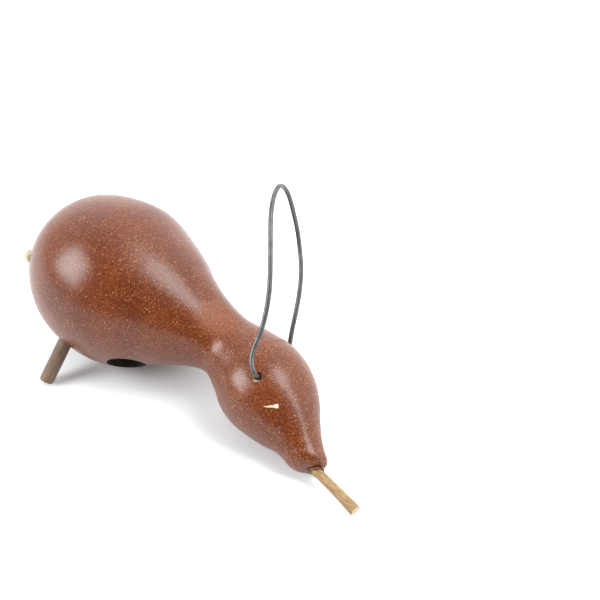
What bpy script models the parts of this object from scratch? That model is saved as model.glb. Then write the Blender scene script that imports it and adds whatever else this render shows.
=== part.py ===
"""Gourd birdhouse: a dried bottle gourd lying on its side.

The gourd is one hollow rind with a bent centre line: a big bulb, a neck, an
upper bulb and a snout that carries the dried stem. An entrance hole, a dowel
perch and a wire loop that swings in two drilled holes make it a birdhouse.

Units are metres. +Z is up, +X runs along the gourd towards its stem, and the
surface that the gourd lies on is at Z = 0.
"""

import math

import bmesh
import bpy
from mathutils import Matrix, Vector

MM = 0.001
UP = Vector((0.0, 0.0, 1.0))

# The middle of the big bulb on the resting surface. It puts the middle of the
# whole part's bounding box over the origin.
BULB_FOOT = Vector((-51.9, -7.8, 0.0)) * MM

# The rind's centre line from the blossom end to the snout, in millimetres from
# BULB_FOOT, and its outer profile as (distance along that line, radius).
CENTRE_LINE = (
    (-39.6, 1.5, 45.2),
    (-0.9, 0.7, 36.4),
    (32.1, 4.6, 33.1),
    (61.2, 9.7, 26.8),
    (88.7, 6.7, 18.4),
    (121.4, -4.2, 6.4),
)
PROFILE = (
    (0.0, 0.0),
    (2.9, 15.6),
    (9.7, 25.4),
    (21.2, 32.6),
    (34.7, 36.3),
    (49.2, 35.8),
    (63.7, 30.7),
    (77.2, 23.1),
    (89.7, 16.7),
    (100.4, 14.2),
    (111.0, 16.9),
    (121.6, 19.9),
    (132.2, 19.5),
    (142.8, 15.8),
    (152.5, 10.6),
    (158.7, 8.4),
    (163.4, 7.8),
    (166.0, 6.2),
    (166.6, 2.7),
    (166.6, 0.0),
)
WALL = 3.5 * MM
CAVITY_END = 150.0 * MM
CAVITY_LEAST_RADIUS = 2.0 * MM
OUTER_SIDES = 48
OUTER_SPANS = 3
CAVITY_SIDES = 32
CAVITY_SPANS = 2
TURN_MERGE = 0.01 * MM

# The snout's end is grown askew: its +Y side reaches further than its -Y side.
SNOUT_LEAN = 0.42
SNOUT_LEAN_START = 148.0 * MM
SNOUT_LEAN_RUN = 14.0 * MM

# Entrance hole, 17 mm wide, drilled square to the skin low on the big bulb.
ENTRANCE_RADIUS = 8.5 * MM
ENTRANCE_MIDDLE = Vector((26.6, -20.6, 16.4)) * MM
ENTRANCE_DIRECTION = Vector((0.538, -0.631, -0.558))
ENTRANCE_DEPTH = 14.0 * MM
ENTRANCE_SIDES = 32

# Perch: 1/4 in dowel whose outer tip rests on the surface.
PERCH_RADIUS = 3.175 * MM
PERCH_TIP = Vector((-4.7, -42.6, 1.9)) * MM
PERCH_DIRECTION = Vector((-0.02, -0.65, -0.76))
PERCH_LENGTH = 27.0 * MM
PERCH_EDGE = 0.4 * MM
PERCH_GAP = 0.3 * MM
PERCH_SIDES = 32

# Stem: it stands askew in a socket in the snout's end.
STEM_SOCKET = Vector((121.3, -2.9, 7.4)) * MM
STEM_TIP = Vector((144.1, -4.9, 3.8)) * MM
STEM_ROOT_RADIUS = 1.95 * MM
STEM_TIP_RADIUS = 2.3 * MM
STEM_SUNK = 5.0 * MM
STEM_RIDGES = 5
STEM_RIDGE_HEIGHT = 0.06
STEM_GAP = 0.35 * MM
STEM_SIDES = 30
SOCKET_SIDES = 20

# Wire loop: 12 gauge wire. Its two holes set the line that it swings about.
HOLE_NEAR = Vector((88.3, -1.7, 37.4)) * MM
HOLE_FAR = Vector((78.2, 25.7, 12.2)) * MM
HOLE_RADIUS = 1.6 * MM
HOLE_SIDES = 16
WIRE_RADIUS = 1.025 * MM
LOOP_LEAN = Vector((-0.42, 0.52, 0.74))
WIRE_SPANS = 3

# The wire's route in the loop's own frame, in millimetres: along the line
# through the holes, up the loop, and out of the loop's plane.
WIRE_ROUTE = (
    (-12.0, 0.0, 0.0),
    (-16.0, 0.0, 0.0),
    (-19.8, 0.0, 0.0),
    (-21.6, 1.0, -0.3),
    (-22.2, 3.4, -1.2),
    (-22.2, 7.0, -1.8),
    (-22.0, 12.0, -0.7),
    (-22.0, 18.0, 1.5),
    (-22.0, 26.0, 3.3),
    (-22.0, 36.0, 4.2),
    (-22.0, 50.0, 3.8),
    (-20.9, 61.0, 2.9),
    (-18.4, 68.5, 2.3),
    (-13.6, 74.5, 1.8),
    (-6.6, 78.1, 1.2),
    (0.6, 78.3, 1.0),
    (7.2, 75.6, 1.0),
    (13.0, 70.4, 1.2),
    (18.4, 63.6, 1.6),
    (21.4, 56.0, 2.2),
    (22.0, 46.0, 3.3),
    (22.0, 36.0, 3.0),
    (22.0, 27.0, 1.8),
    (22.0, 18.0, 0.3),
    (22.2, 10.0, -0.5),
    (22.2, 4.0, -0.5),
    (21.6, 1.0, -0.2),
    (19.8, 0.0, 0.0),
    (16.0, 0.0, 0.0),
    (12.0, 0.0, 0.0),
)

# A pale nub on the rind, low on the big bulb's blossom side, as a direction and a
# distance from the middle of the big bulb.
BULB_MIDDLE = Vector((-0.9, 0.7, 36.4)) * MM
NUB_RADIUS = 3.0 * MM
NUB_DIRECTION = Vector((-0.82, -0.54, 0.20))
NUB_DISTANCE = 40.6 * MM
NUB_SEGMENTS = 12
NUB_RINGS = 8

# The spots that the gourd rests on are worn flat by a block below the surface.
TABLE = Vector((260.0, 160.0, 20.0)) * MM

# How far a cutter runs past what it cuts.
CUT_PAST = 8.0 * MM
SHARP_ANGLE = math.radians(35.0)


def catmull_rom(points, spans):
    """Return points on a Catmull-Rom curve through all but the end points."""
    curve = []
    for before, start, end, after in zip(points, points[1:], points[2:], points[3:]):
        for step in range(spans):
            t = step / spans
            curve.append(
                0.5 * (2.0 * start + (end - before) * t
                       + (2.0 * before - 5.0 * start + 4.0 * end - after) * t ** 2
                       + (3.0 * start - before - 3.0 * end + after) * t ** 3))
    curve.append(points[-2].copy())
    return curve


def smooth_open(points, spans):
    """Return a smooth curve through all points, straight at both ends."""
    first = 2.0 * points[0] - points[1]
    last = 2.0 * points[-1] - points[-2]
    return catmull_rom([first, *points, last], spans)


class CentreLine:
    """The rind's bent centre line, measured by distance from the blossom end."""

    def __init__(self, points, spans=24):
        self.points = smooth_open([BULB_FOOT + Vector(p) * MM for p in points], spans)
        self.distances = [0.0]
        for here, there in zip(self.points, self.points[1:]):
            self.distances.append(self.distances[-1] + (there - here).length)

    def at(self, distance):
        """Return the point at a distance, going straight on past both ends."""
        last = len(self.points) - 2
        index = 0
        while index < last and self.distances[index + 1] < distance:
            index += 1
        run = self.distances[index + 1] - self.distances[index]
        share = (distance - self.distances[index]) / run
        return self.points[index].lerp(self.points[index + 1], share)

    def frame(self, distance):
        """Return the side and top directions square to the line."""
        along = (self.at(distance + MM) - self.at(distance - MM)).normalized()
        side = UP.cross(along).normalized()
        return side, along.cross(side)


def outer_profile(spans):
    """Return the rind's smooth profile as vectors (distance, radius)."""
    points = [Vector(point) * MM for point in PROFILE]
    blossom = Vector((points[1].x, -points[1].y))
    snout = Vector((points[-2].x, -points[-2].y))
    return catmull_rom([blossom, *points, snout], spans)


def cavity_profile(spans):
    """Return the hollow's profile: the outer one moved in by the wall."""
    outer = outer_profile(spans)
    inner = [Vector((outer[0].x + WALL, 0.0))]
    for before, here, after in zip(outer, outer[1:], outer[2:]):
        slope = (after - before).normalized()
        point = here + Vector((slope.y, -slope.x)) * WALL
        if point.y > CAVITY_LEAST_RADIUS and inner[-1].x < point.x < CAVITY_END:
            inner.append(point)
    inner.append(Vector((CAVITY_END + MM, 0.0)))
    return inner


def collection(name):
    """Return a new collection in the scene."""
    group = bpy.data.collections.new(name)
    bpy.context.scene.collection.children.link(group)
    return group


def add_object(name, data, group):
    """Link a new object with this data to a collection."""
    made = bpy.data.objects.new(name, data)
    group.objects.link(made)
    return made


def material(name, colour, roughness, metallic=0.0):
    """Return a Principled material."""
    made = bpy.data.materials.new(name)
    made.use_nodes = True
    shader = made.node_tree.nodes["Principled BSDF"]
    shader.inputs["Base Color"].default_value = (*colour, 1.0)
    shader.inputs["Roughness"].default_value = roughness
    shader.inputs["Metallic"].default_value = metallic
    return made


def turned_solid(name, profile, sides, group):
    """Turn a profile about Z with a Screw modifier and keep the mesh."""
    mesh = bpy.data.meshes.new(name)
    outline = [(point.y, 0.0, point.x) for point in reversed(profile)]
    mesh.from_pydata(outline, [(i, i + 1) for i in range(len(outline) - 1)], [])
    turned = add_object(name, mesh, group)
    screw = turned.modifiers.new("Turn", "SCREW")
    screw.steps = sides
    screw.render_steps = sides
    screw.use_merge_vertices = True
    screw.merge_threshold = TURN_MERGE
    bpy.context.view_layer.update()
    evaluated = turned.evaluated_get(bpy.context.evaluated_depsgraph_get())
    turned.data = bpy.data.meshes.new_from_object(evaluated)
    turned.modifiers.clear()
    return turned


def bend(turned, line):
    """Bend a turned solid along the centre line and lean its snout."""
    for vertex in turned.data.vertices:
        across, over, distance = vertex.co
        lean = min(max((distance - SNOUT_LEAN_START) / SNOUT_LEAN_RUN, 0.0), 1.0)
        distance += SNOUT_LEAN * lean * across
        side, top = line.frame(distance)
        vertex.co = line.at(distance) + side * across + top * over


def facing(direction, origin=Vector()):
    """Return a matrix whose Z axis points along a direction."""
    turn = direction.to_track_quat("Z", "Y").to_matrix().to_4x4()
    return Matrix.Translation(origin) @ turn


def rod(name, start, end, radius, sides, group):
    """Return a cylinder from start to end."""
    mesh = bpy.data.meshes.new(name)
    form = bmesh.new()
    length = (end - start).length
    bmesh.ops.create_cone(form, cap_ends=True, segments=sides, radius1=radius,
                          radius2=radius, depth=length)
    form.to_mesh(mesh)
    form.free()
    made = add_object(name, mesh, group)
    made.matrix_world = facing(end - start, (start + end) / 2.0)
    return made


def boolean(target, tool, operation):
    """Join a tool to the target or cut it out, and hide the tool."""
    step = target.modifiers.new(tool.name, "BOOLEAN")
    step.object = tool
    step.operation = operation
    tool.hide_render = True
    tool.display_type = "WIRE"


def shade(made, finish):
    """Give an object its material and smooth shading."""
    made.data.materials.clear()
    made.data.materials.append(finish)
    made.data.shade_smooth()
    made.data.set_sharp_from_angle(angle=SHARP_ANGLE)


def make_shell(line, parts, tools):
    """Build the hollow rind with all its holes and its flat spots."""
    shell = turned_solid("gourd_shell", outer_profile(OUTER_SPANS), OUTER_SIDES, parts)
    bend(shell, line)

    mesh = bpy.data.meshes.new("nub")
    form = bmesh.new()
    bmesh.ops.create_uvsphere(form, u_segments=NUB_SEGMENTS, v_segments=NUB_RINGS,
                              radius=NUB_RADIUS)
    form.to_mesh(mesh)
    form.free()
    nub = add_object("nub", mesh, tools)
    nub.location = BULB_FOOT + BULB_MIDDLE + NUB_DIRECTION.normalized() * NUB_DISTANCE
    boolean(shell, nub, "UNION")

    cavity = turned_solid("cavity", cavity_profile(CAVITY_SPANS), CAVITY_SIDES, tools)
    bend(cavity, line)
    boolean(shell, cavity, "DIFFERENCE")

    skin = BULB_FOOT + ENTRANCE_MIDDLE
    outwards = ENTRANCE_DIRECTION.normalized()
    entrance = rod("entrance", skin - outwards * ENTRANCE_DEPTH, skin + outwards * CUT_PAST,
                   ENTRANCE_RADIUS, ENTRANCE_SIDES, tools)
    boolean(shell, entrance, "DIFFERENCE")

    tip = BULB_FOOT + PERCH_TIP
    inwards = PERCH_DIRECTION.normalized() * -(PERCH_LENGTH + CUT_PAST)
    perch_hole = rod("perch_hole", tip, tip + inwards, PERCH_RADIUS + PERCH_GAP,
                     PERCH_SIDES, tools)
    boolean(shell, perch_hole, "DIFFERENCE")

    through = (HOLE_FAR - HOLE_NEAR).normalized() * CUT_PAST
    wire_holes = rod("wire_holes", BULB_FOOT + HOLE_NEAR - through,
                     BULB_FOOT + HOLE_FAR + through, HOLE_RADIUS, HOLE_SIDES, tools)
    boolean(shell, wire_holes, "DIFFERENCE")

    outwards = (STEM_TIP - STEM_SOCKET).normalized()
    socket_start = BULB_FOOT + STEM_SOCKET - outwards * (STEM_SUNK + STEM_GAP)
    socket = rod("stem_socket", socket_start, BULB_FOOT + STEM_TIP,
                 STEM_ROOT_RADIUS * (1.0 + STEM_RIDGE_HEIGHT) + STEM_GAP,
                 SOCKET_SIDES, tools)
    boolean(shell, socket, "DIFFERENCE")

    bpy.ops.mesh.primitive_cube_add(size=1.0, location=(0.0, 0.0, -TABLE.z / 2.0))
    table = bpy.context.object
    table.name = "resting_plane"
    table.scale = TABLE
    for group in table.users_collection:
        group.objects.unlink(table)
    tools.objects.link(table)
    boolean(shell, table, "DIFFERENCE")

    shade(shell, material("stained_rind", (0.255, 0.098, 0.044), 0.38))


def make_stem(parts):
    """Build the five-ridged dried stem, a little thicker at its cut end."""
    outwards = (STEM_TIP - STEM_SOCKET).normalized()
    root = BULB_FOOT + STEM_SOCKET - outwards * STEM_SUNK
    tip = BULB_FOOT + STEM_TIP
    mesh = bpy.data.meshes.new("stem")
    form = bmesh.new()
    bmesh.ops.create_cone(form, cap_ends=True, segments=STEM_SIDES, radius1=STEM_ROOT_RADIUS,
                          radius2=STEM_TIP_RADIUS, depth=(tip - root).length)
    for vertex in form.verts:
        angle = math.atan2(vertex.co.y, vertex.co.x)
        ridge = 1.0 + STEM_RIDGE_HEIGHT * math.cos(STEM_RIDGES * angle)
        vertex.co.x *= ridge
        vertex.co.y *= ridge
    form.to_mesh(mesh)
    form.free()
    stem = add_object("stem", mesh, parts)
    stem.matrix_world = facing(tip - root, (root + tip) / 2.0)
    shade(stem, material("dried_stem", (0.42, 0.24, 0.09), 0.75))


def make_perch(parts):
    """Build the dowel, with its edges just broken."""
    tip = BULB_FOOT + PERCH_TIP
    inner = tip - PERCH_DIRECTION.normalized() * PERCH_LENGTH
    perch = rod("perch", inner, tip, PERCH_RADIUS, PERCH_SIDES, parts)
    edge = perch.modifiers.new("Edge", "BEVEL")
    edge.width = PERCH_EDGE
    edge.segments = 2
    shade(perch, material("weathered_dowel", (0.20, 0.125, 0.083), 0.7))


def make_hanger(parts):
    """Build the wire loop in a frame whose X axis is the hinge line."""
    across = (HOLE_FAR - HOLE_NEAR).normalized()
    rise = (LOOP_LEAN - across * LOOP_LEAN.dot(across)).normalized()
    out = across.cross(rise)
    centre = BULB_FOOT + (HOLE_NEAR + HOLE_FAR) / 2.0
    points = smooth_open([Vector(point) * MM for point in WIRE_ROUTE], WIRE_SPANS)
    curve = bpy.data.curves.new("wire_hanger", "CURVE")
    curve.dimensions = "3D"
    curve.bevel_depth = WIRE_RADIUS
    curve.bevel_resolution = 2
    curve.use_fill_caps = True
    spline = curve.splines.new("POLY")
    spline.points.add(len(points) - 1)
    for place, point in zip(spline.points, points):
        place.co = (*point, 1.0)
    spline.use_smooth = True
    curve.materials.append(material("galvanised_wire", (0.13, 0.14, 0.14), 0.42, 0.9))
    hanger = add_object("wire_hanger", curve, parts)
    hanger.matrix_world = Matrix.Translation(centre) @ Matrix((across, rise, out)).transposed().to_4x4()


def main():
    """Build the whole birdhouse."""
    for old in list(bpy.data.objects):
        bpy.data.objects.remove(old, do_unlink=True)
    parts = collection("gourd_birdhouse")
    tools = collection("cutters")
    line = CentreLine(CENTRE_LINE)
    make_shell(line, parts, tools)
    make_stem(parts)
    make_perch(parts)
    make_hanger(parts)


if __name__ == "__main__":
    main()
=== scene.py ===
"""Looks of the gourd birdhouse: a stained, varnished bottle gourd on its side.

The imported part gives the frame. The rind, the stem, the perch and the wire
loop are modelled again with finer meshes over their solids, and dressed.
Lengths are in metres, in the part's own frame, unless a name says otherwise.
"""

import logging
import math
from dataclasses import dataclass
from enum import Enum
from typing import Callable, Sequence, Union

import bpy
from mathutils import Matrix, Vector, noise

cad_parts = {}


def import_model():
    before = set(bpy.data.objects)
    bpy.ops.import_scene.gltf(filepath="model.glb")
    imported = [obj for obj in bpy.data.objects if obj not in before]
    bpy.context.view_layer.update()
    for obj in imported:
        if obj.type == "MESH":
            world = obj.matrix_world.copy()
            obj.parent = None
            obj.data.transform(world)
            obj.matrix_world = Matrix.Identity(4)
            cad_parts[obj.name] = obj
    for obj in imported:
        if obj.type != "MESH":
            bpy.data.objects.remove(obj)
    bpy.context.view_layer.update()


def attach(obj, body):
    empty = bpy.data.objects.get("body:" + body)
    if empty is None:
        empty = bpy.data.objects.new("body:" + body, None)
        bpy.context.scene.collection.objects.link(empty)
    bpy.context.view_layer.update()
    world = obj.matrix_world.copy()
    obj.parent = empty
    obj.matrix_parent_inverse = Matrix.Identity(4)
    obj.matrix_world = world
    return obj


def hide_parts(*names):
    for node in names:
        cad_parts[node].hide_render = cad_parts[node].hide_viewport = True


LOG = logging.getLogger("gourd_birdhouse")
MM = 0.001
UP = Vector((0.0, 0.0, 1.0))

# The foot of the big bulb in the part's frame. Points named from_foot are
# counted from here, in millimetres, as the part's source counts them.
BULB_FOOT = Vector((-51.9, -7.8, 0.0)) * MM


class Body(Enum):
    """The two bodies of the part."""

    GOURD = "gourd"
    HANGER = "hanger"


class Slot(Enum):
    """The record's material slots."""

    RIND = "stained_rind"
    STEM = "dried_stem"
    DOWEL = "weathered_dowel"
    WIRE = "galvanised_wire"


def from_foot(*point: float) -> Vector:
    """Return a point of the part's frame from millimetres off the bulb's foot."""
    return BULB_FOOT + Vector(point) * MM


# The middles of the wire's two holes on the skin, and how far a drill or a
# rod that cuts a hole reaches out past the skin.
WIRE_NEAR = from_foot(88.3, -1.7, 37.4)
WIRE_FAR = from_foot(78.2, 25.7, 12.2)
PAST_SKIN = 8.0 * MM


def between(value: float, low: float, high: float) -> float:
    """Return how far a value is from low to high, held to 0 to 1 and eased."""
    share = min(max((value - low) / (high - low), 0.0), 1.0)
    return share * share * (3.0 - 2.0 * share)


def smooth_curve(points: Sequence[Vector], spans: int) -> list[Vector]:
    """Return a Catmull-Rom curve through all points.

    Args:
        points: The points in order.
        spans: Steps between two points.

    Returns:
        The points of the curve.
    """
    ends = [2.0 * points[0] - points[1], *points, 2.0 * points[-1] - points[-2]]
    return smooth_inside(ends, spans)


def smooth_inside(points: Sequence[Vector], spans: int) -> list[Vector]:
    """Return a Catmull-Rom curve through all but the first and last points.

    Args:
        points: The points in order.
        spans: Steps between two points.

    Returns:
        The points of the curve.
    """
    curve = []
    for before, start, end, after in zip(points, points[1:], points[2:], points[3:]):
        for step in range(spans):
            t = step / spans
            square = 2.0 * before - 5.0 * start + 4.0 * end - after
            cube = 3.0 * start - before - 3.0 * end + after
            curve.append(0.5 * (2.0 * start + (end - before) * t + square * t ** 2 + cube * t ** 3))
    curve.append(points[-2].copy())
    return curve


def turn_towards(direction: Vector, origin: Vector) -> Matrix:
    """Return the place of a thing at origin whose Z axis points along direction."""
    return Matrix.Translation(origin) @ direction.to_track_quat("Z", "Y").to_matrix().to_4x4()


class Bench:
    """Hand tools: each works on one object through Blender's own operators."""

    @staticmethod
    def clear() -> None:
        """Leave edit mode and deselect everything."""
        if bpy.context.object and bpy.context.object.mode != "OBJECT":
            bpy.ops.object.mode_set(mode="OBJECT")
        bpy.ops.object.select_all(action="DESELECT")

    @staticmethod
    def pick(piece: bpy.types.Object) -> None:
        """Select one object alone and make it active."""
        Bench.clear()
        piece.select_set(True)
        bpy.context.view_layer.objects.active = piece

    @staticmethod
    def sphere(name: str, around: int, rings: int) -> bpy.types.Object:
        """Add a sphere of radius 1 at the origin, to be shaped."""
        Bench.clear()
        bpy.ops.mesh.primitive_uv_sphere_add(segments=around, ring_count=rings, radius=1.0)
        bpy.context.object.name = name
        return bpy.context.object

    @staticmethod
    def rod(name: str, length: float, radius: float, place: Matrix, around: int,
            cuts: int = 0) -> bpy.types.Object:
        """Add a closed rod from the origin of a place along its Z axis.

        Args:
            name: The object's name.
            length: Its length.
            radius: Its radius.
            place: Where it goes.
            around: The number of its sides.
            cuts: How many rings cut it along its length.

        Returns:
            The rod, with its place in its mesh.
        """
        Bench.clear()
        bpy.ops.mesh.primitive_cylinder_add(vertices=around, radius=radius, depth=length,
                                            location=(0.0, 0.0, length / 2.0))
        rod = bpy.context.object
        rod.name = name
        bpy.ops.object.transform_apply(location=True)
        bpy.ops.object.mode_set(mode="EDIT")
        for cut in range(1, cuts + 1):
            bpy.ops.mesh.select_all(action="SELECT")
            bpy.ops.mesh.bisect(plane_co=(0.0, 0.0, length * cut / (cuts + 1)),
                                plane_no=(0.0, 0.0, 1.0))
        bpy.ops.object.mode_set(mode="OBJECT")
        rod.data.transform(place)
        return rod

    @staticmethod
    def ring_ends(rod: bpy.types.Object, rings: int, width: float) -> None:
        """Cut rings of a width into both ends of a rod that stands along Z.

        The ends are its only many-sided faces.
        """
        Bench.pick(rod)
        bpy.ops.object.mode_set(mode="EDIT")
        bpy.ops.mesh.select_mode(type="FACE")
        for _ in range(rings):
            bpy.ops.mesh.select_all(action="DESELECT")
            bpy.ops.object.mode_set(mode="OBJECT")
            for face in rod.data.polygons:
                face.select = abs(face.normal.z) > 0.9 and len(face.vertices) > 8
            bpy.ops.object.mode_set(mode="EDIT")
            bpy.ops.mesh.inset(thickness=width)
        bpy.ops.object.mode_set(mode="OBJECT")

    @staticmethod
    def shape(piece: bpy.types.Object, move: Callable[[Vector], Vector]) -> None:
        """Move every vertex of a piece by a rule."""
        for vertex in piece.data.vertices:
            vertex.co = move(vertex.co.copy())
        piece.data.update()

    @staticmethod
    def apply(piece: bpy.types.Object, kind: str, **settings: object) -> None:
        """Add a modifier to a piece with these settings and apply it."""
        Bench.pick(piece)
        step = piece.modifiers.new(kind.title(), kind)
        for name, value in settings.items():
            setattr(step, name, value)
        bpy.ops.object.modifier_apply(modifier=step.name)

    @staticmethod
    def cut(piece: bpy.types.Object, tool: bpy.types.Object) -> None:
        """Cut a tool out of a piece and throw the tool away."""
        Bench.apply(piece, "BOOLEAN", object=tool, operation="DIFFERENCE", solver="EXACT",
                    material_mode="TRANSFER")
        bpy.data.objects.remove(tool)

    @staticmethod
    def outwards(piece: bpy.types.Object) -> None:
        """Merge doubles and point the faces of a closed piece outwards."""
        Bench.pick(piece)
        bpy.ops.object.mode_set(mode="EDIT")
        bpy.ops.mesh.select_all(action="SELECT")
        bpy.ops.mesh.remove_doubles(threshold=0.002 * MM)
        bpy.ops.mesh.normals_make_consistent(inside=False)
        bpy.ops.object.mode_set(mode="OBJECT")

    @staticmethod
    def smooth(piece: bpy.types.Object, angle_deg: float) -> None:
        """Shade a piece smooth, but for edges sharper than an angle."""
        Bench.pick(piece)
        bpy.ops.object.shade_smooth_by_angle(angle=math.radians(angle_deg))


class Signal:
    """A value in a material. Arithmetic on it adds Math nodes."""

    def __init__(self, paint: "Paint", socket: bpy.types.NodeSocket) -> None:
        self.paint = paint
        self.socket = socket

    def also(self, name: str) -> "Signal":
        """Return another output of the same node."""
        return Signal(self.paint, self.socket.node.outputs[name])

    def math(self, operation: str, *values: "Amount") -> "Signal":
        """Return the result of a Math node on this value and others."""
        inputs = dict(enumerate((self, *values)))
        return self.paint.node("ShaderNodeMath", {"operation": operation}, inputs)

    def vector(self, operation: str, other: "Amount" = None, out: Union[int, str] = 0) -> "Signal":
        """Return the result of a Vector Math node on this vector and another."""
        inputs = {0: self} if other is None else {0: self, 1: other}
        return self.paint.node("ShaderNodeVectorMath", {"operation": operation}, inputs, out)

    def __add__(self, other: "Amount") -> "Signal":
        """Return the sum."""
        return self.math("ADD", other)

    __radd__ = __add__

    def __sub__(self, other: "Amount") -> "Signal":
        """Return the difference."""
        return self.math("SUBTRACT", other)

    def __rsub__(self, other: float) -> "Signal":
        """Return the difference from a number."""
        return self.paint.node("ShaderNodeMath", {"operation": "SUBTRACT"}, {0: other, 1: self})

    def __mul__(self, other: "Amount") -> "Signal":
        """Return the product."""
        return self.math("MULTIPLY", other)

    __rmul__ = __mul__

    def step(self, low: "Amount", high: "Amount") -> "Signal":
        """Return 0 below low and 1 above high, eased between them."""
        return self.paint.node("ShaderNodeMapRange", {"interpolation_type": "SMOOTHSTEP"},
                               {"Value": self, "From Min": low, "From Max": high})


Amount = Union[Signal, float, tuple, None]


class Paint:
    """One procedural material, built node by node."""

    def __init__(self, name: str) -> None:
        self.material = bpy.data.materials.new(name)
        self.material.use_nodes = True
        self.tree = self.material.node_tree
        self.shader = self.tree.nodes["Principled BSDF"]
        self.place = self.node("ShaderNodeTexCoord", {}, {}, "Object")

    def node(self, kind: str, settings: dict, inputs: dict, out: Union[int, str] = 0) -> Signal:
        """Add a node.

        Args:
            kind: The node's type.
            settings: Its properties, or the stops of a ramp.
            inputs: Values or signals by socket name or number.
            out: The output to return.

        Returns:
            The chosen output.
        """
        made = self.tree.nodes.new(kind)
        for name, value in settings.items():
            if name == "stops":
                self._set_stops(made.color_ramp, value)
            else:
                setattr(made, name, value)
        for socket, value in inputs.items():
            self.feed(made.inputs[socket], value)
        return Signal(self, made.outputs[out])

    @staticmethod
    def _set_stops(ramp: bpy.types.ColorRamp, stops: Sequence[tuple]) -> None:
        """Give a ramp its stops, each a position and a colour."""
        while len(ramp.elements) < len(stops):
            ramp.elements.new(1.0)
        for element, (position, colour) in zip(ramp.elements, stops):
            element.position = position
            element.color = (*colour, 1.0)

    def feed(self, socket: bpy.types.NodeSocket, value: Amount) -> None:
        """Link a signal to a socket, or set its value."""
        if isinstance(value, Signal):
            self.tree.links.new(value.socket, socket)
        elif isinstance(value, tuple) and socket.type == "RGBA":
            socket.default_value = (*value, 1.0)
        else:
            socket.default_value = value

    def noise(self, per_mm: float, detail: float, where: Signal = None,
              distortion: float = 0.0) -> Signal:
        """Return a cloudy value of about 0.5, with this many clouds a millimetre."""
        return self.node("ShaderNodeTexNoise", {},
                         {"Vector": where or self.place, "Scale": per_mm / MM,
                          "Detail": detail, "Distortion": distortion})

    def cells(self, per_mm: float) -> Signal:
        """Return the distance to the middle of random cells."""
        return self.node("ShaderNodeTexVoronoi", {},
                         {"Vector": self.place, "Scale": per_mm / MM}, "Distance")

    def stretched(self, along: Vector, origin: Vector, stretch: float) -> Signal:
        """Return object coordinates with a pattern drawn out along a direction.

        Args:
            along: The direction of the grain.
            origin: A point on the grain's middle line.
            stretch: How many times longer the pattern is along the grain.

        Returns:
            The coordinates.
        """
        side = along.orthogonal().normalized()
        other = along.cross(side)
        local = self.place.vector("SUBTRACT", tuple(origin))
        parts = {}
        for index, (axis, scale) in enumerate(((side, 1.0), (other, 1.0), (along, 1.0 / stretch))):
            parts[index] = local.vector("DOT_PRODUCT", tuple(axis * scale), "Value")
        return self.node("ShaderNodeCombineXYZ", {}, parts)

    def off_point(self, point: Vector) -> Signal:
        """Return the distance from a point, in metres."""
        return self.place.vector("DISTANCE", tuple(point), "Value")

    def blend(self, share: Amount, low: Amount, high: Amount) -> Signal:
        """Return a colour that goes from low to high as share goes from 0 to 1."""
        return self.node("ShaderNodeMix", {"data_type": "RGBA"}, {0: share, 6: low, 7: high}, 2)

    def ramp(self, value: Signal, stops: Sequence[tuple]) -> Signal:
        """Return the colour of a ramp at a value."""
        return self.node("ShaderNodeValToRGB", {"stops": stops}, {0: value})

    def relief(self, height: Signal, depth_mm: float) -> Signal:
        """Return normals bumped by a height of 0 to 1 times a depth."""
        return self.node("ShaderNodeBump", {},
                         {"Height": height, "Distance": depth_mm * MM, "Strength": 1.0})

    def finish(self, **sockets: Amount) -> bpy.types.Material:
        """Feed the shader's sockets, named with _ for a space, and return the material."""
        for name, value in sockets.items():
            self.feed(self.shader.inputs[name.replace("_", " ")], value)
        return self.material


@dataclass(frozen=True)
class Speckle:
    """One kind of small dot.

    Attributes:
        per_mm: Places for a dot in a millimetre.
        edge: Where a dot's edge begins and ends, in parts of a place.
        channel: The weights of a place's random colour that pick the dots.
        share: How many places have a dot where they are crowded.
        cover: How much of the stain a dot hides.
        colour: The dot's colour.
    """

    per_mm: float
    edge: tuple
    channel: tuple
    share: float
    cover: float
    colour: tuple

    def dots(self, paint: Paint, crowd: Signal) -> Signal:
        """Return 1 in the dots and 0 between them."""
        cells = paint.cells(self.per_mm)
        pick = cells.also("Color").vector("DOT_PRODUCT", self.channel, "Value")
        share = crowd * self.share
        return (1.0 - cells.step(*self.edge)) * (1.0 - pick.step(share, share + 0.05))


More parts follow.
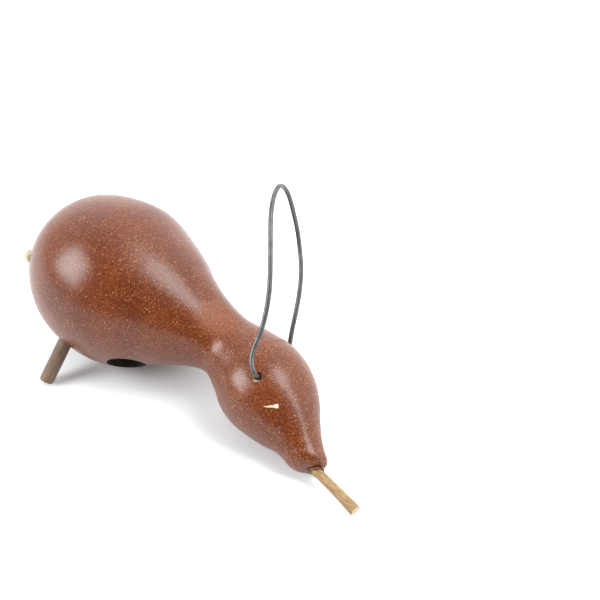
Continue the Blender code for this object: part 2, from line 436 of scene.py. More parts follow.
@dataclass(frozen=True)
class VarnishedRind:
    """Red-brown stain with fine gold speckles under a satin varnish."""

    stain: tuple = (0.102, 0.0215, 0.0060)
    deep: tuple = (0.084, 0.0170, 0.0048)
    warm: tuple = (0.135, 0.0330, 0.0095)
    dust: Speckle = Speckle(1.9, (0.22, 0.46), (1.0, 0.0, 0.0), 0.85, 0.62, (0.33, 0.108, 0.030))
    grain: Speckle = Speckle(1.6, (0.17, 0.37), (0.0, 1.0, 0.0), 0.50, 0.64, (0.45, 0.190, 0.064))
    spark: Speckle = Speckle(1.2, (0.12, 0.28), (0.0, 0.0, 1.0), 0.08, 0.85, (0.64, 0.400, 0.210))
    crowded: tuple = (-30.0 * MM, 40.0 * MM)
    rubbed: tuple = (0.24, 0.100, 0.055)
    rubbed_along: Vector = Vector((0.3, 0.75, 0.6))
    worn: tuple = (0.185, 0.056, 0.022)
    worn_middle: Vector = from_foot(56.3, 7.0, 43.4)
    worn_core: float = 4.0 * MM
    worn_reach: float = 11.0 * MM
    roughness: float = 0.26

    def material(self) -> bpy.types.Material:
        """Return the rind's outer finish."""
        paint = Paint("varnished_rind")
        cloud = paint.noise(per_mm=0.035, detail=3.0)
        fine_cloud = paint.noise(per_mm=0.22, detail=3.0)
        colour = paint.blend(cloud.step(0.40, 0.66), self.stain, self.deep)
        colour = paint.blend(fine_cloud.step(0.48, 0.75) * 0.5, colour, self.warm)
        worn = 1.0 - paint.off_point(self.worn_middle).step(self.worn_core, self.worn_reach)
        colour = paint.blend(worn * 0.6, colour, self.worn)

        crowd = paint.noise(per_mm=0.05, detail=2.0).step(0.34, 0.64) * 0.35 + 0.45
        towards_stem = paint.place.vector("DOT_PRODUCT", (1.0, 0.0, 0.0), "Value")
        crowd = crowd + towards_stem.step(*self.crowded) * 0.3 + worn * 0.3
        dust = self.dust.dots(paint, crowd)
        grain = self.grain.dots(paint, crowd)
        spark = self.spark.dots(paint, crowd)
        for kind, dots in ((self.dust, dust), (self.grain, grain), (self.spark, spark)):
            colour = paint.blend(dots * kind.cover, colour, kind.colour)

        strokes = paint.stretched(self.rubbed_along, Vector(), stretch=26.0)
        lines = paint.noise(per_mm=0.9, detail=1.0, where=strokes)
        patches = paint.noise(per_mm=0.07, detail=1.0)
        rubbed = lines.step(0.68, 0.78) * patches.step(0.5, 0.62)
        colour = paint.blend(rubbed * 0.35, colour, self.rubbed)

        rough = self.roughness + cloud * 0.05 + rubbed * 0.08 + dust * 0.05 + worn * 0.28
        height = dust * 0.5 + grain * 0.8 + paint.noise(per_mm=0.8, detail=2.0) * 0.3
        return paint.finish(Base_Color=colour, Roughness=rough, Specular_IOR_Level=0.38,
                            Normal=paint.relief(height, depth_mm=0.014))


@dataclass(frozen=True)
class BareRind:
    """The cut wall of a drilled hole: corky, browned by the drill. The entrance's copy is near
    black: stain plus painted shade.
    """

    name: str = "bare_rind"
    pale: tuple = (0.36, 0.27, 0.17)
    browned_and_shade: tuple = (0.09, 0.045, 0.022)

    def material(self) -> bpy.types.Material:
        """Return the finish of the cut walls."""
        paint = Paint(self.name)
        pores = paint.noise(per_mm=1.1, detail=3.0)
        colour = paint.blend(pores.step(0.42, 0.62), self.pale, self.browned_and_shade)
        return paint.finish(Base_Color=colour, Roughness=0.85,
                            Normal=paint.relief(pores, depth_mm=0.15))


@dataclass(frozen=True)
class DryHollow:
    """The inside of the gourd: dry pulp skin, brown and scaly."""

    skin: tuple = (0.20, 0.125, 0.060)
    flakes: tuple = (0.36, 0.26, 0.14)

    def material(self) -> bpy.types.Material:
        """Return the finish of the inside."""
        paint = Paint("dry_hollow")
        pulp = paint.noise(per_mm=0.16, detail=4.0, distortion=0.6)
        colour = paint.blend(pulp.step(0.4, 0.66), self.skin, self.flakes)
        return paint.finish(Base_Color=colour, Roughness=0.95,
                            Normal=paint.relief(pulp, depth_mm=1.2))


@dataclass(frozen=True)
class Grain:
    """Fibres or wood grain along one direction."""

    name: str
    origin: Vector
    along: Vector
    pale: tuple
    mid: tuple
    dark: tuple
    lines_a_mm: float
    stretch: float
    roughness: float
    depth_mm: float
    length: float = 1.0
    cut: tuple = (0.5, 0.5, 0.5)

    def material(self) -> bpy.types.Material:
        """Return the grained finish, with another colour where it is cut across."""
        paint = Paint(self.name)
        where = paint.stretched(self.along.normalized(), self.origin, self.stretch)
        fibres = paint.noise(self.lines_a_mm, detail=4.0, where=where, distortion=0.4)
        patches = paint.noise(per_mm=0.35, detail=3.0)
        colour = paint.ramp(fibres, ((0.28, self.dark), (0.47, self.mid), (0.68, self.pale)))
        colour = paint.blend(patches.step(0.40, 0.60) * 0.45, colour, self.mid)
        colour = paint.blend(patches.step(0.58, 0.75) * 0.5, colour, self.pale)
        reach = paint.place.vector("SUBTRACT", tuple(self.origin))
        reach = reach.vector("DOT_PRODUCT", tuple(self.along.normalized()), "Value")
        end = reach.step(self.length - 0.35 * MM, self.length - 0.15 * MM)
        colour = paint.blend(end * 0.8, colour, self.cut)
        rough = self.roughness + fibres * 0.15
        return paint.finish(Base_Color=colour, Roughness=rough,
                            Normal=paint.relief(fibres, self.depth_mm))


@dataclass(frozen=True)
class DullZinc:
    """Galvanised wire gone dull grey, with faint smears."""

    zinc: tuple = (0.120, 0.121, 0.118)
    dull: tuple = (0.092, 0.092, 0.088)
    roughness: float = 0.40

    def material(self) -> bpy.types.Material:
        """Return the wire's finish."""
        paint = Paint("dull_zinc")
        smears = paint.noise(per_mm=0.25, detail=3.0)
        colour = paint.blend(smears.step(0.40, 0.64), self.zinc, self.dull)
        rough = self.roughness + smears * 0.12
        return paint.finish(Base_Color=colour, Roughness=rough, Metallic=0.85,
                            Normal=paint.relief(smears, depth_mm=0.012))


@dataclass(frozen=True)
class PaleFlake:
    """A dull, mottled spot: chipped stain, cork or the torn edge of the rind."""

    name: str
    pale: tuple
    shade: tuple

    def material(self) -> bpy.types.Material:
        """Return the finish of the spot."""
        paint = Paint(self.name)
        grain = paint.noise(per_mm=0.8, detail=3.0)
        colour = paint.blend(grain.step(0.40, 0.68), self.pale, self.shade)
        return paint.finish(Base_Color=colour, Roughness=0.7,
                            Normal=paint.relief(grain, depth_mm=0.1))


@dataclass
class Rind:
    """The hollow gourd: outer skin, hollow, and the holes drilled through it."""

    wall: float = 3.5 * MM
    around: int = 160
    rings: int = 180
    snout_from: float = 146.0 * MM
    snout_share: float = 0.26
    lean: float = 0.42
    lean_start: float = 148.0 * MM
    lean_run: float = 14.0 * MM
    hollow_end: float = 150.0 * MM
    hollow_least: float = 2.0 * MM
    hollow_around: int = 96
    hollow_rings: int = 90
    swell_mm: float = 0.22
    swell_span_mm: float = 24.0
    ripple_mm: float = 0.03
    ripple_span_mm: float = 7.0
    ripple_shift: Vector = Vector((9.0, 3.0, 5.0))
    pucker_mm: float = 0.10
    pucker_run_mm: tuple = (153.0, 163.0)
    pucker_span_mm: float = 9.0
    bulb_middle: Vector = from_foot(-0.9, 0.7, 36.4)
    entrance_radius: float = 8.5 * MM
    entrance_middle: Vector = from_foot(26.6, -20.6, 16.4)
    entrance_towards: Vector = Vector((0.538, -0.631, -0.558))
    entrance_depth: float = 14.0 * MM
    entrance_around: int = 96
    hole_radius: float = 1.6 * MM
    hole_depth: float = 9.0 * MM
    holes_around: int = 64
    chamfer: float = 0.28 * MM
    jag_mm: float = 0.45
    jag_size: float = 0.9 * MM
    line_points: tuple = (
        (-39.6, 1.5, 45.2), (-0.9, 0.7, 36.4), (32.1, 4.6, 33.1),
        (61.2, 9.7, 26.8), (88.7, 6.7, 18.4), (121.4, -4.2, 6.4))
    profile: tuple = (
        (0.0, 0.0), (2.9, 15.6), (9.7, 25.4), (21.2, 32.6), (34.7, 36.3), (49.2, 35.8),
        (63.7, 30.7), (77.2, 23.1), (89.7, 16.7), (100.4, 14.2), (111.0, 16.9), (121.6, 19.9),
        (132.2, 19.5), (142.8, 15.8), (152.5, 10.6), (158.7, 8.4), (162.8, 7.6), (165.4, 5.9),
        (166.6, 2.9), (166.7, 0.0))

    def __post_init__(self) -> None:
        """Measure the centre line and the profile."""
        self.line = smooth_curve([from_foot(*point) for point in self.line_points], 24)
        self.reach = [0.0]
        for here, there in zip(self.line, self.line[1:]):
            self.reach.append(self.reach[-1] + (there - here).length)
        points = [Vector(point) * MM for point in self.profile]
        blossom = Vector((points[1].x, -points[1].y))
        snout = Vector((points[-2].x, -points[-2].y))
        self.outline = smooth_inside([blossom, *points, snout], 12)

    def at(self, distance: float) -> Vector:
        """Return the centre line's point at a distance from the blossom end."""
        last = len(self.line) - 2
        index = 0
        while index < last and self.reach[index + 1] < distance:
            index += 1
        run = self.reach[index + 1] - self.reach[index]
        return self.line[index].lerp(self.line[index + 1], (distance - self.reach[index]) / run)

    def inner_outline(self) -> list[Vector]:
        """Return the hollow's profile: the outline moved in by the wall."""
        inner = [Vector((self.outline[0].x + self.wall, 0.0))]
        for before, here, after in zip(self.outline, self.outline[1:], self.outline[2:]):
            slope = (after - before).normalized()
            point = here + Vector((slope.y, -slope.x)) * self.wall
            if point.y > self.hollow_least and inner[-1].x < point.x < self.hollow_end:
                inner.append(point)
        inner.append(Vector((self.hollow_end + MM, 0.0)))
        return inner

    def place_on_line(self, distance: float, radius: float, angle: float) -> Vector:
        """Return the point at a distance along the line, a radius and an angle round it."""
        across = radius * math.cos(angle)
        over = radius * math.sin(angle)
        share = min(max((distance - self.lean_start) / self.lean_run, 0.0), 1.0)
        distance += self.lean * share * across
        along = (self.at(distance + MM) - self.at(distance - MM)).normalized()
        side = UP.cross(along).normalized()
        return self.at(distance) + side * across + along.cross(side) * over

    def turned(self, name: str, outline: Sequence[Vector], around: int, rings: int,
               uneven: bool) -> bpy.types.Object:
        """Shape a sphere into the bent, turned form of an outline.

        Args:
            name: The object's name.
            outline: The profile as vectors (distance, radius).
            around: The number of sides.
            rings: The number of rings.
            uneven: Whether the skin gets its swells, ripples and puckers.

        Returns:
            The shaped object.
        """
        lengths = [0.0]
        for here, there in zip(outline, outline[1:]):
            lengths.append(lengths[-1] + (there - here).length)
        turn = next((s for p, s in zip(outline, lengths) if p.x > self.snout_from), lengths[-1])
        knee = 1.0 - self.snout_share if uneven else turn / lengths[-1]

        def shaped(unit: Vector) -> Vector:
            share = math.acos(max(-1.0, min(1.0, -unit.z))) / math.pi
            if share < knee:
                length = turn * share / knee
            else:
                length = turn + (lengths[-1] - turn) * (share - knee) / max(1.0 - knee, 1e-9)
            index = 0
            while index < len(lengths) - 2 and lengths[index + 1] < length:
                index += 1
            part = (length - lengths[index]) / (lengths[index + 1] - lengths[index])
            spot = outline[index].lerp(outline[index + 1], part)
            angle = math.atan2(unit.y, unit.x)
            radius = spot.y
            if uneven and radius > 0.0:
                radius += self.unevenness(spot.x, radius, angle)
            return self.place_on_line(spot.x, radius, angle)

        form = Bench.sphere(name, around, rings)
        Bench.shape(form, shaped)
        return form

    def unevenness(self, distance: float, radius: float, angle: float) -> float:
        """Return how far the grown skin stands off the turned form."""
        spot = Vector((math.cos(angle) * radius, math.sin(angle) * radius, distance)) / MM
        ease = between(radius / MM, 2.0, 12.0)
        swell = noise.noise(spot / self.swell_span_mm) * self.swell_mm * ease
        ripple = noise.noise(spot / self.ripple_span_mm + self.ripple_shift) * self.ripple_mm * ease
        end = between(distance / MM, *self.pucker_run_mm)
        folds = math.sin(7.0 * angle + 2.2 * noise.noise(spot / self.pucker_span_mm)) * 0.5
        folds += math.sin(12.0 * angle + 1.3) * 0.3
        rim = between(radius / MM, 1.5, 5.5)
        return (swell + ripple + folds * self.pucker_mm * end * rim) * MM

    def countersunk(self, name: str, place: Matrix,
                    finish: bpy.types.Material) -> bpy.types.Object:
        """Make the drill of a wire's hole, widened at the skin with a chipped edge.

        Args:
            name: The tool's name.
            place: The spot on the skin, with Z outwards.
            finish: The finish of what it cuts.

        Returns:
            The tool.
        """
        radius = self.hole_radius
        outside = 4.0 * MM
        flared = 0.3 * outside
        below = Matrix.Translation((0.0, 0.0, -self.hole_depth))
        tool = Bench.rod(name, self.hole_depth + outside, radius, below, self.holes_around)
        Bench.pick(tool)
        bpy.ops.object.mode_set(mode="EDIT")
        for height in (-self.chamfer, flared):
            bpy.ops.mesh.select_all(action="SELECT")
            bpy.ops.mesh.bisect(plane_co=(0.0, 0.0, height), plane_no=(0.0, 0.0, 1.0))
        bpy.ops.object.mode_set(mode="OBJECT")

        def widen(point: Vector) -> Vector:
            if point.z < -self.chamfer * 0.5 or point.xy.length < radius * 0.5:
                return point
            jag = noise.noise(Vector((point.x, point.y, 0.0)) / self.jag_size) * self.jag_mm
            grown = (radius + self.chamfer + flared + jag * MM) / point.xy.length
            return Vector((point.x * grown, point.y * grown, point.z))

        Bench.shape(tool, widen)
        tool.data.transform(place)
        tool.data.materials.append(finish)
        return tool

    def build(self) -> bpy.types.Object:
        """Return the finished rind."""
        bare = BareRind().material()
        skin = self.turned("gourd_rind", self.outline, self.around, self.rings, True)
        Bench.shape(skin, lambda point: Vector((point.x, point.y, max(point.z, 0.0))))
        skin.data.materials.append(VarnishedRind().material())

        hollow = self.turned("hollow", self.inner_outline(), self.hollow_around,
                             self.hollow_rings, False)
        hollow.data.materials.append(DryHollow().material())
        Bench.cut(skin, hollow)

        start = self.entrance_middle - self.entrance_towards.normalized() * self.entrance_depth
        entrance = Bench.rod("entrance", self.entrance_depth + PAST_SKIN, self.entrance_radius,
                             turn_towards(self.entrance_towards, start), self.entrance_around)
        # Near-black wall for the entrance hole: partly dark stain, partly painted shade of the
        # hollow behind it.
        entrance_stain_and_shade = BareRind("entrance_stain_and_shade_rind", (0.024, 0.014, 0.008), (0.008, 0.005, 0.003))
        entrance.data.materials.append(entrance_stain_and_shade.material())
        Bench.cut(skin, entrance)
        across = (WIRE_FAR - WIRE_NEAR).normalized()
        for name, spot, outwards in (("near", WIRE_NEAR, -across), ("far", WIRE_FAR, across)):
            Bench.cut(skin, self.countersunk(name, turn_towards(outwards, spot), bare))
        for tool in (Perch().drill(), Stem().drill()):
            tool.data.materials.append(bare)
            Bench.cut(skin, tool)
        Bench.smooth(skin, 42.0)
        return skin


@dataclass
class Perch:
    """The dowel under the entrance, its outer end on the table."""

    radius: float = 3.175 * MM
    gap: float = 0.15 * MM
    length: float = 27.0 * MM
    tip: Vector = from_foot(-4.7, -42.6, 1.9)
    outwards: Vector = Vector((-0.02, -0.65, -0.76))
    rounded_mm: float = 0.30
    sawn_mm: float = 0.10

    def place(self) -> Matrix:
        """Return the dowel's place: its inner end, with Z towards its tip."""
        along = self.outwards.normalized()
        return turn_towards(along, self.tip - along * self.length)

    def drill(self) -> bpy.types.Object:
        """Return the tool that drills the dowel's hole."""
        return Bench.rod("perch_drill", self.length + PAST_SKIN, self.radius + self.gap,
                         self.place(), 64)

    def build(self) -> bpy.types.Object:
        """Return the dowel, sawn off a little rough and worn along its grain."""
        dowel = Bench.rod("perch_dowel", self.length, self.radius, Matrix.Identity(4), 72, 26)
        Bench.ring_ends(dowel, 4, 0.7 * MM)

        def wear(point: Vector) -> Vector:
            radius = point.xy.length
            angle = math.atan2(point.y, point.x)
            end = min(point.z, self.length - point.z)
            if radius > self.radius * 0.98:
                spot = Vector((math.cos(angle) * 3.4, math.sin(angle) * 3.4, point.z / MM * 0.06))
                worn = noise.noise(spot * 1.6) * 0.045 + noise.noise(spot * 4.5) * 0.02
                worn -= self.rounded_mm * (1.0 - between(end / MM, -0.1, 0.45))
                scale = 1.0 + worn * MM / radius
                return Vector((point.x * scale, point.y * scale, point.z))
            if end < 0.01 * MM:
                spot = Vector((point.x / MM * 1.8, point.y / MM * 0.8, point.z / MM))
                sawn = abs(noise.noise(spot) * self.sawn_mm * MM) if point.z > 0.0 else 0.0
                return Vector((point.x, point.y, point.z - sawn))
            return point

        Bench.shape(dowel, wear)
        dowel.data.transform(self.place())
        Bench.shape(dowel, lambda point: Vector((point.x, point.y, max(point.z, 0.0))))
        Bench.outwards(dowel)
        Bench.smooth(dowel, 35.0)
        finish = Grain("weathered_dowel", self.tip, self.outwards,
                       pale=(0.200, 0.135, 0.088), mid=(0.140, 0.086, 0.054),
                       dark=(0.090, 0.053, 0.032), lines_a_mm=1.1, stretch=6.0,
                       roughness=0.62, depth_mm=0.06)
        dowel.data.materials.append(finish.material())
        return dowel


@dataclass
class Stem:
    """The dried stalk that stands askew in the snout's end."""

    socket: Vector = from_foot(121.3, -2.9, 7.4)
    tip: Vector = from_foot(144.1, -4.9, 3.8)
    root_radius: float = 1.95 * MM
    tip_radius: float = 2.3 * MM
    sunk: float = 5.0 * MM
    gap: float = 0.2 * MM
    ribs: float = 5.0
    rib_height: float = 0.055
    twist: float = 1.4
    bow_mm: float = 0.25
    torn_mm: float = 0.35
    snout_face: Vector = Vector((0.703, -0.642, -0.303))
    collar_radius: float = 0.36 * MM
    collar_sunk: float = 0.2 * MM

    def along(self) -> Vector:
        """Return the stalk's direction, outwards."""
        return (self.tip - self.socket).normalized()

    def drill(self) -> bpy.types.Object:
        """Return the tool that cuts the stalk's socket."""
        start = self.socket - self.along() * (self.sunk + self.gap)
        return Bench.rod("stem_drill", (self.tip - start).length, self.root_radius + self.gap,
                         turn_towards(self.along(), start), 40)

    def build(self) -> bpy.types.Object:
        """Return the ribbed, slightly twisted stalk with its cut end."""
        root = self.socket - self.along() * self.sunk
        length = (self.tip - root).length
        stalk = Bench.rod("dried_stem", length, self.root_radius, Matrix.Identity(4), 60, 60)
        Bench.ring_ends(stalk, 3, 0.5 * MM)

        def grow(point: Vector) -> Vector:
            share = point.z / length
            angle = math.atan2(point.y, point.x)
            radius = point.xy.length
            flare = self.root_radius + (self.tip_radius - self.root_radius) * share ** 2
            ribs = math.cos(self.ribs * angle + self.twist * share) * self.rib_height
            spot = Vector((math.cos(angle) * 2.4, math.sin(angle) * 2.4, point.z / MM * 0.10))
            fibre = noise.noise(spot * 2.2) * 0.045 + noise.noise(spot * 6.0) * 0.03
            grown = radius / self.root_radius * flare * (1.0 + ribs + fibre)
            height = point.z
            if share > 0.999:
                torn = noise.noise(Vector((point.x, point.y, 0.0)) / (0.8 * MM))
                height += torn * self.torn_mm * MM
                height -= between(radius / self.root_radius, 0.2, 1.0) * 0.15 * MM
            bow = math.sin(share * math.pi) * self.bow_mm * MM
            return Vector((math.cos(angle) * grown + bow, math.sin(angle) * grown, height))

        Bench.shape(stalk, grow)
        stalk.data.transform(turn_towards(self.along(), root))
        Bench.outwards(stalk)
        Bench.smooth(stalk, 50.0)
        finish = Grain("fibrous_stem", root, self.along(),
                       pale=(0.34, 0.245, 0.130), mid=(0.235, 0.143, 0.058),
                       dark=(0.140, 0.075, 0.030), lines_a_mm=1.5, stretch=5.0,
                       roughness=0.62, depth_mm=0.14, length=length, cut=(0.52, 0.45, 0.32))
        stalk.data.materials.append(finish.material())
        return stalk

    def collar(self) -> bpy.types.Object:
        """Return the torn, stained lip of rind round the stalk's foot."""
        face = self.snout_face.normalized()
        slant = self.along().dot(face)
        run = (self.along() - face * slant).normalized()
        frame = Matrix((run, face.cross(run), face)).transposed().to_4x4()
        ring = self.root_radius + 0.30 * MM
        Bench.clear()
        bpy.ops.mesh.primitive_torus_add(major_radius=ring, minor_radius=self.collar_radius,
                                         major_segments=72, minor_segments=16)
        lip = bpy.context.object
        lip.name = "torn_collar"

        def tear(point: Vector) -> Vector:
            angle = math.atan2(point.y, point.x)
            spot = Vector((math.cos(angle) * 2.0, math.sin(angle) * 2.0, 1.7))
            ragged = noise.noise(spot * 1.5) * 0.5 + noise.noise(spot * 4.0) * 0.3
            outside = max(point.xy.length - ring, 0.0)
            grown = 1.0 + ragged * outside / ring * 1.5
            return Vector((point.x * grown / slant, point.y * grown, point.z * (1.0 + ragged)))

        Bench.shape(lip, tear)
        foot = self.socket - self.along() * self.collar_sunk
        lip.data.transform(Matrix.Translation(foot) @ frame)
        Bench.smooth(lip, 60.0)
        finish = PaleFlake("torn_rind", (0.12, 0.045, 0.025), (0.050, 0.017, 0.009))
        lip.data.materials.append(finish.material())
        return lip


@dataclass
class WireLoop:
    """The galvanised wire loop that swings in its two holes."""

    radius: float = 1.025 * MM
    leaning: Vector = Vector((-0.42, 0.52, 0.74))
    spans: int = 7
    route_mm: tuple = (
        (-12.0, 0.0, 0.0), (-16.0, 0.0, 0.0), (-19.8, 0.0, 0.0), (-21.6, 1.0, -0.3),
        (-22.2, 3.4, -1.2), (-22.2, 7.0, -1.8), (-22.0, 12.0, -0.7), (-22.0, 18.0, 1.5),
        (-22.0, 26.0, 3.3), (-22.0, 36.0, 4.2), (-22.0, 50.0, 3.8), (-20.9, 61.0, 2.9),
        (-18.4, 68.5, 2.3), (-13.6, 74.5, 1.8), (-6.6, 78.1, 1.2), (0.6, 78.3, 1.0),
        (7.2, 75.6, 1.0), (13.0, 70.4, 1.2), (18.4, 63.6, 1.6), (21.4, 56.0, 2.2),
        (22.0, 46.0, 3.3), (22.0, 36.0, 3.0), (22.0, 27.0, 1.8), (22.0, 18.0, 0.3),
        (22.2, 10.0, -0.5), (22.2, 4.0, -0.5), (21.6, 1.0, -0.2), (19.8, 0.0, 0.0),
        (16.0, 0.0, 0.0), (12.0, 0.0, 0.0))

    def build(self) -> bpy.types.Object:
        """Return the wire as a mesh, its thickness a little uneven."""
        across = (WIRE_FAR - WIRE_NEAR).normalized()
        rise = (self.leaning - across * self.leaning.dot(across)).normalized()
        frame = Matrix((across, rise, across.cross(rise))).transposed().to_4x4()
        place = Matrix.Translation((WIRE_NEAR + WIRE_FAR) / 2.0) @ frame
        points = smooth_curve([Vector(point) * MM for point in self.route_mm], self.spans)
        Bench.clear()
        bpy.ops.curve.primitive_bezier_curve_add()
        wire = bpy.context.object
        wire.name = "wire_loop"
        curve = wire.data
        curve.splines.clear()
        curve.dimensions = "3D"
        curve.bevel_depth = self.radius
        curve.bevel_resolution = 6
        curve.use_fill_caps = True
        strand = curve.splines.new("POLY")
        strand.points.add(len(points) - 1)
        for spot, point in zip(strand.points, points):
            spot.co = (*(place @ point), 1.0)
            spot.radius = 1.0 + noise.noise(point / (9.0 * MM)) * 0.010
        Bench.pick(wire)
        bpy.ops.object.convert(target="MESH")
        wire = bpy.context.object
        Bench.outwards(wire)
        Bench.smooth(wire, 50.0)
        wire.data.materials.append(DullZinc().material())
        return wire


@dataclass
class PaleSpots:
    """The two pale spots on the skin: a chipped fleck and the blossom scar."""

    fleck_middle: Vector = from_foot(98.2, -4.6, 29.4)
    fleck_normal: Vector = Vector((0.5, -0.64, 0.58))
    fleck_right: Vector = Vector((0.732, 0.681, 0.0))
    fleck_mm: tuple = (
        (-3.2, -0.12), (-2.1, 0.08), (-0.9, 0.28), (0.3, 0.55), (1.1, 0.50), (1.9, 0.88),
        (2.9, 1.10), (3.25, 0.35), (3.0, -0.62), (2.3, -0.75), (1.5, -0.36), (0.2, -0.42),
        (-1.4, -0.32))
    fleck_drop: float = 8.0 * MM
    fleck_lift: float = 0.03 * MM
    scar_towards: Vector = Vector((-0.82, -0.54, 0.20))
    scar_distance: float = 40.6 * MM
    scar_radius: float = 3.0 * MM

    def fleck(self, skin: bpy.types.Object) -> bpy.types.Object:
        """Return the thin pale fleck, laid on the skin."""
        normal = self.fleck_normal.normalized()
        right = (self.fleck_right - normal * self.fleck_right.dot(normal)).normalized()
        above = normal.cross(right)
        Bench.clear()
        bpy.ops.mesh.primitive_circle_add(vertices=len(self.fleck_mm), radius=1.0, fill_type="NGON")
        fleck = bpy.context.object
        fleck.name = "pale_fleck"
        for vertex, (x, y) in zip(fleck.data.vertices, self.fleck_mm):
            vertex.co = Vector((x, y, 0.0)) * MM
        Bench.pick(fleck)
        bpy.ops.object.mode_set(mode="EDIT")
        bpy.ops.mesh.select_all(action="SELECT")
        bpy.ops.mesh.inset(thickness=0.16 * MM)
        bpy.ops.mesh.select_all(action="SELECT")
        bpy.ops.mesh.quads_convert_to_tris()
        bpy.ops.mesh.subdivide(number_cuts=2)
        bpy.ops.object.mode_set(mode="OBJECT")

        def lay(point: Vector) -> Vector:
            start = self.fleck_middle + normal * self.fleck_drop + right * point.x + above * point.y
            hit, where, _, _ = skin.ray_cast(start, -normal)
            return (where if hit else start - normal * self.fleck_drop) + normal * self.fleck_lift

        Bench.shape(fleck, lay)
        Bench.apply(fleck, "SOLIDIFY", thickness=0.14 * MM, offset=1.0)
        Bench.smooth(fleck, 50.0)
        finish = PaleFlake("chipped_fleck", (0.56, 0.54, 0.45), (0.46, 0.38, 0.28))
        fleck.data.materials.append(finish.material())
        return fleck

    def scar(self, middle: Vector) -> bpy.types.Object:
        """Return the pale corky scar of the blossom."""
        towards = self.scar_towards.normalized()
        scar = Bench.sphere("blossom_scar", 48, 32)

        def crumple(unit: Vector) -> Vector:
            rough = noise.noise(unit * 1.7) * 0.12 + noise.noise(unit * 5.0) * 0.04
            return unit * (1.0 + rough) * self.scar_radius

        Bench.shape(scar, crumple)
        scar.data.transform(Matrix.Translation(middle + towards * self.scar_distance))
        Bench.smooth(scar, 60.0)
        finish = PaleFlake("corky_scar", (0.52, 0.48, 0.36), (0.34, 0.28, 0.18))
        scar.data.materials.append(finish.material())
        return scar


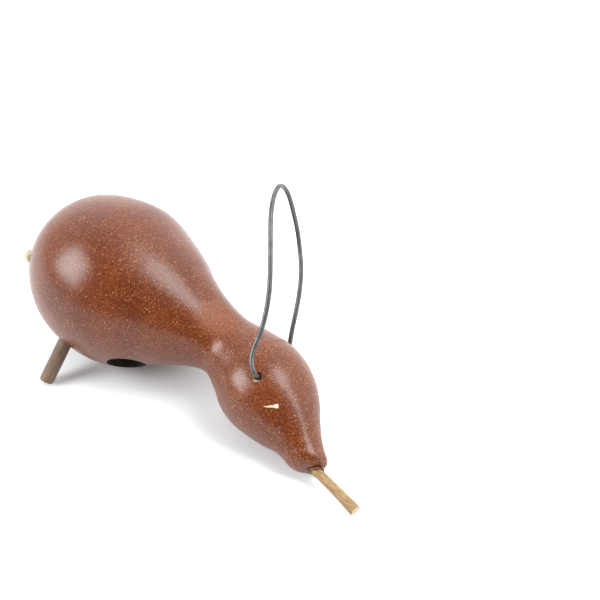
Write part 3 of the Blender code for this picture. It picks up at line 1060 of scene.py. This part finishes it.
@dataclass
class Studio:
    """White table, soft white surround, three soft boxes and the camera."""

    camera_at: Vector = Vector((245.6, -209.4, 319.3)) * MM
    camera_tilt_deg: float = 50.0
    camera_turn_deg: float = 42.95
    lens_mm: float = 60.81
    sensor_mm: float = 36.0
    room: float = 2.24
    room_front: float = 0.10
    room_turn: float = 0.7
    front: Vector = Vector((0.259, -0.966, 0.0))
    table_white: tuple = (0.80, 0.825, 0.84)
    table_size: float = 6.0
    table_drop: float = 0.02 * MM
    lit_middle: Vector = Vector((-10.0, -20.0, 45.0)) * MM
    box_distance: float = 1.6
    boxes: tuple = (
        ("left_box", Vector((-0.469, -0.716, 0.517)), 0.92, 0.96, 12.0),
        ("right_box", Vector((0.433, 0.250, 0.866)), 0.80, 0.72, 9.5),
        ("low_box", Vector((0.801, 0.253, 0.542)), 0.24, 0.80, 11.0))

    def camera(self) -> None:
        """Place the camera at the photograph's angle."""
        data = bpy.data.cameras.new("camera")
        data.lens = self.lens_mm
        data.sensor_width = self.sensor_mm
        data.clip_start = 0.01
        camera = bpy.data.objects.new("camera", data)
        bpy.context.scene.collection.objects.link(camera)
        camera.location = self.camera_at
        camera.rotation_euler = (math.radians(self.camera_tilt_deg), 0.0,
                                 math.radians(self.camera_turn_deg))
        bpy.context.scene.camera = camera

    def table(self) -> None:
        """Lay the white table that the gourd lies on."""
        Bench.clear()
        bpy.ops.mesh.primitive_plane_add(size=self.table_size,
                                         location=(0.0, 0.0, -self.table_drop))
        table = bpy.context.object
        table.name = "white_table"
        paper = Paint("white_paper").finish(Base_Color=self.table_white, Roughness=0.8)
        table.data.materials.append(paper)

    def soft_box(self, name: str, towards: Vector, width: float, height: float,
                 radiance: float) -> None:
        """Hang a soft box that faces the gourd.

        Args:
            name: The light's name.
            towards: The direction from the gourd to the light.
            width: Its width.
            height: Its height.
            radiance: Its brightness, on the scale of the surround's.
        """
        data = bpy.data.lights.new(name, "AREA")
        data.shape = "RECTANGLE"
        data.size = width
        data.size_y = height
        data.energy = radiance * math.pi * width * height
        light = bpy.data.objects.new(name, data)
        bpy.context.scene.collection.objects.link(light)
        place = self.lit_middle + towards.normalized() * self.box_distance
        light.matrix_world = turn_towards(towards, place)

    def surround(self) -> None:
        """Surround the table with a white room that is dark on its front side."""
        world = bpy.data.worlds.new("white_room")
        world.use_nodes = True
        tree = world.node_tree
        direction = tree.nodes.new("ShaderNodeTexCoord")
        forward = tree.nodes.new("ShaderNodeVectorMath")
        forward.operation = "DOT_PRODUCT"
        forward.inputs[1].default_value = self.front
        tree.links.new(direction.outputs["Generated"], forward.inputs[0])
        strength = tree.nodes.new("ShaderNodeMapRange")
        strength.interpolation_type = "SMOOTHSTEP"
        for name, value in (("From Min", -self.room_turn), ("From Max", self.room_turn),
                            ("To Min", self.room), ("To Max", self.room_front)):
            strength.inputs[name].default_value = value
        tree.links.new(forward.outputs["Value"], strength.inputs["Value"])
        backdrop = tree.nodes["Background"]
        backdrop.inputs["Color"].default_value = (1.0, 1.0, 0.995, 1.0)
        tree.links.new(strength.outputs["Result"], backdrop.inputs["Strength"])
        bpy.context.scene.world = world

    def build(self) -> None:
        """Set up the whole studio."""
        self.camera()
        self.table()
        self.surround()
        for name, towards, width, height, radiance in self.boxes:
            self.soft_box(name, towards, width, height, radiance)
        bpy.context.scene.view_settings.view_transform = "Standard"


def settle(piece: bpy.types.Object, body: Body, slot: Slot, *nodes: str) -> None:
    """Give a piece its body, and let it stand for solids.

    Args:
        piece: The finished piece.
        body: The body that it moves with.
        slot: The record's material slot. Not used.
        nodes: The solids that it stands for.
    """
    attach(piece, body.value)
    if nodes:
        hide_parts(*nodes)
    LOG.info("%s: %d faces on %s", piece.name, len(piece.data.polygons), body.value)


def main() -> None:
    """Build the studio and every piece."""
    logging.basicConfig(level=logging.INFO)
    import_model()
    Studio().build()
    rind = Rind()
    skin = rind.build()
    settle(skin, Body.GOURD, Slot.RIND, "gourd_shell")
    stem = Stem()
    settle(stem.build(), Body.GOURD, Slot.STEM, "stem")
    settle(stem.collar(), Body.GOURD, Slot.RIND)
    settle(Perch().build(), Body.GOURD, Slot.DOWEL, "perch")
    settle(WireLoop().build(), Body.HANGER, Slot.WIRE, "wire_hanger")
    spots = PaleSpots()
    settle(spots.fleck(skin), Body.GOURD, Slot.RIND)
    settle(spots.scar(rind.bulb_middle), Body.GOURD, Slot.RIND)


if __name__ == "__main__":
    main()
